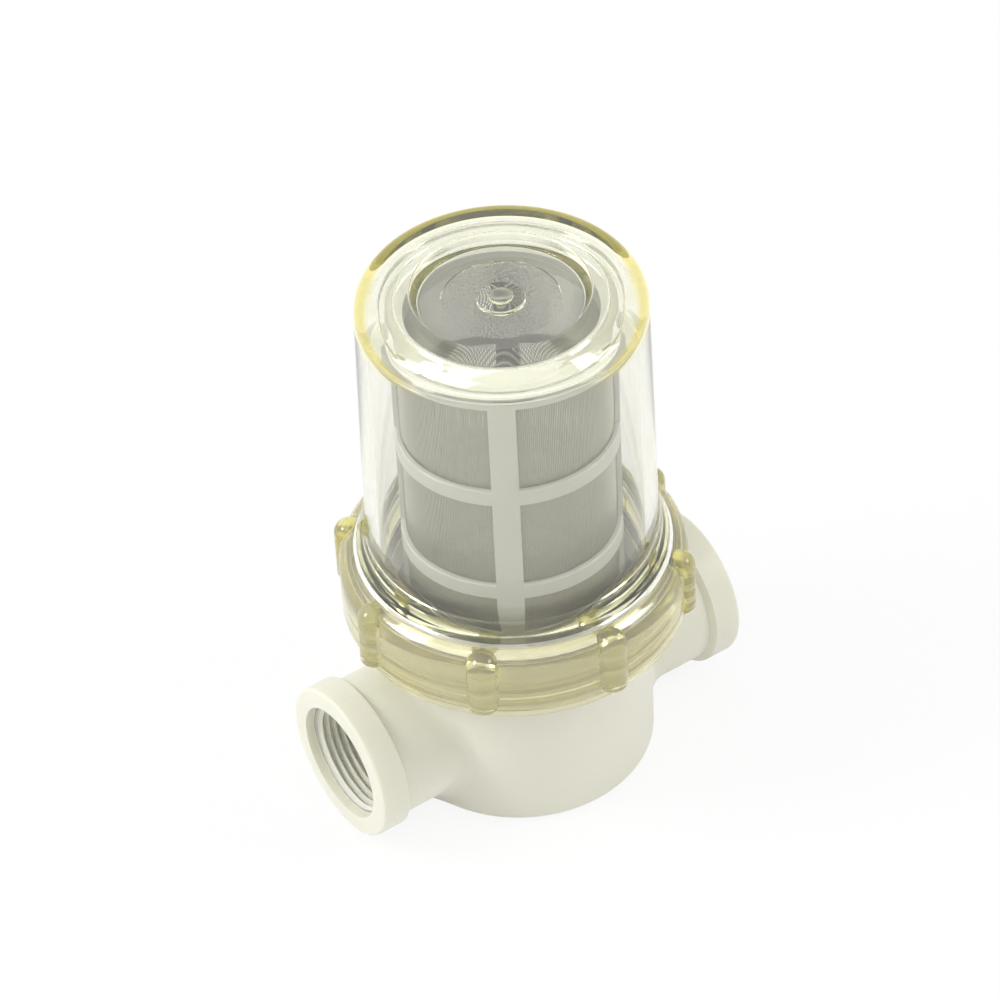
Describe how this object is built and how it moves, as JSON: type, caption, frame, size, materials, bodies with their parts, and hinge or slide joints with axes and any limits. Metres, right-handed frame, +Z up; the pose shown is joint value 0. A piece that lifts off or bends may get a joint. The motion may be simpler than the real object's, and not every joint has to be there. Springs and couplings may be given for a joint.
{
  "type": "sea water strainer",
  "caption": "In-line strainer for raw water: white body with two threaded side ports, clear bowl held by a lugged ring nut, and a lift-out mesh screen.",
  "frame": {"origin": "middle of the body's flat base", "axes": "+Z up along the bowl and screen, +X along the ports towards the outlet"},
  "size_m": [0.126, 0.1042, 0.167],
  "materials": {
    "white_plastic": "satin moulded",
    "screen_plastic": "satin moulded",
    "clear_plastic": "clear, yellow in thick sections",
    "black_rubber": "matte",
    "mesh_wire": "fine woven wire"
  },
  "bodies": {
    "housing": {"body": "white_plastic", "o_ring": "black_rubber", "screen_frame": "screen_plastic", "screen_mesh": "mesh_wire"},
    "clear_bowl": {"bowl": "clear_plastic"},
    "nut": {"ring_nut": "clear_plastic"}
  },
  "joints": [
    {"name": "bowl_lift", "type": "slide", "parent": "housing", "child": "clear_bowl", "axis": [0, 0, 1], "range_m": [0, 0.01501]},
    {"name": "nut_turn", "type": "hinge", "parent": "clear_bowl", "child": "nut", "pos_m": [0, 0, 0.0643], "axis": [0, 0, 1], "range_deg": [0, 1080]}
  ],
  "couplings": [
    {"joint": "bowl_lift", "follows": "nut_turn", "m_per_rad": 0.00079577}
  ]
}
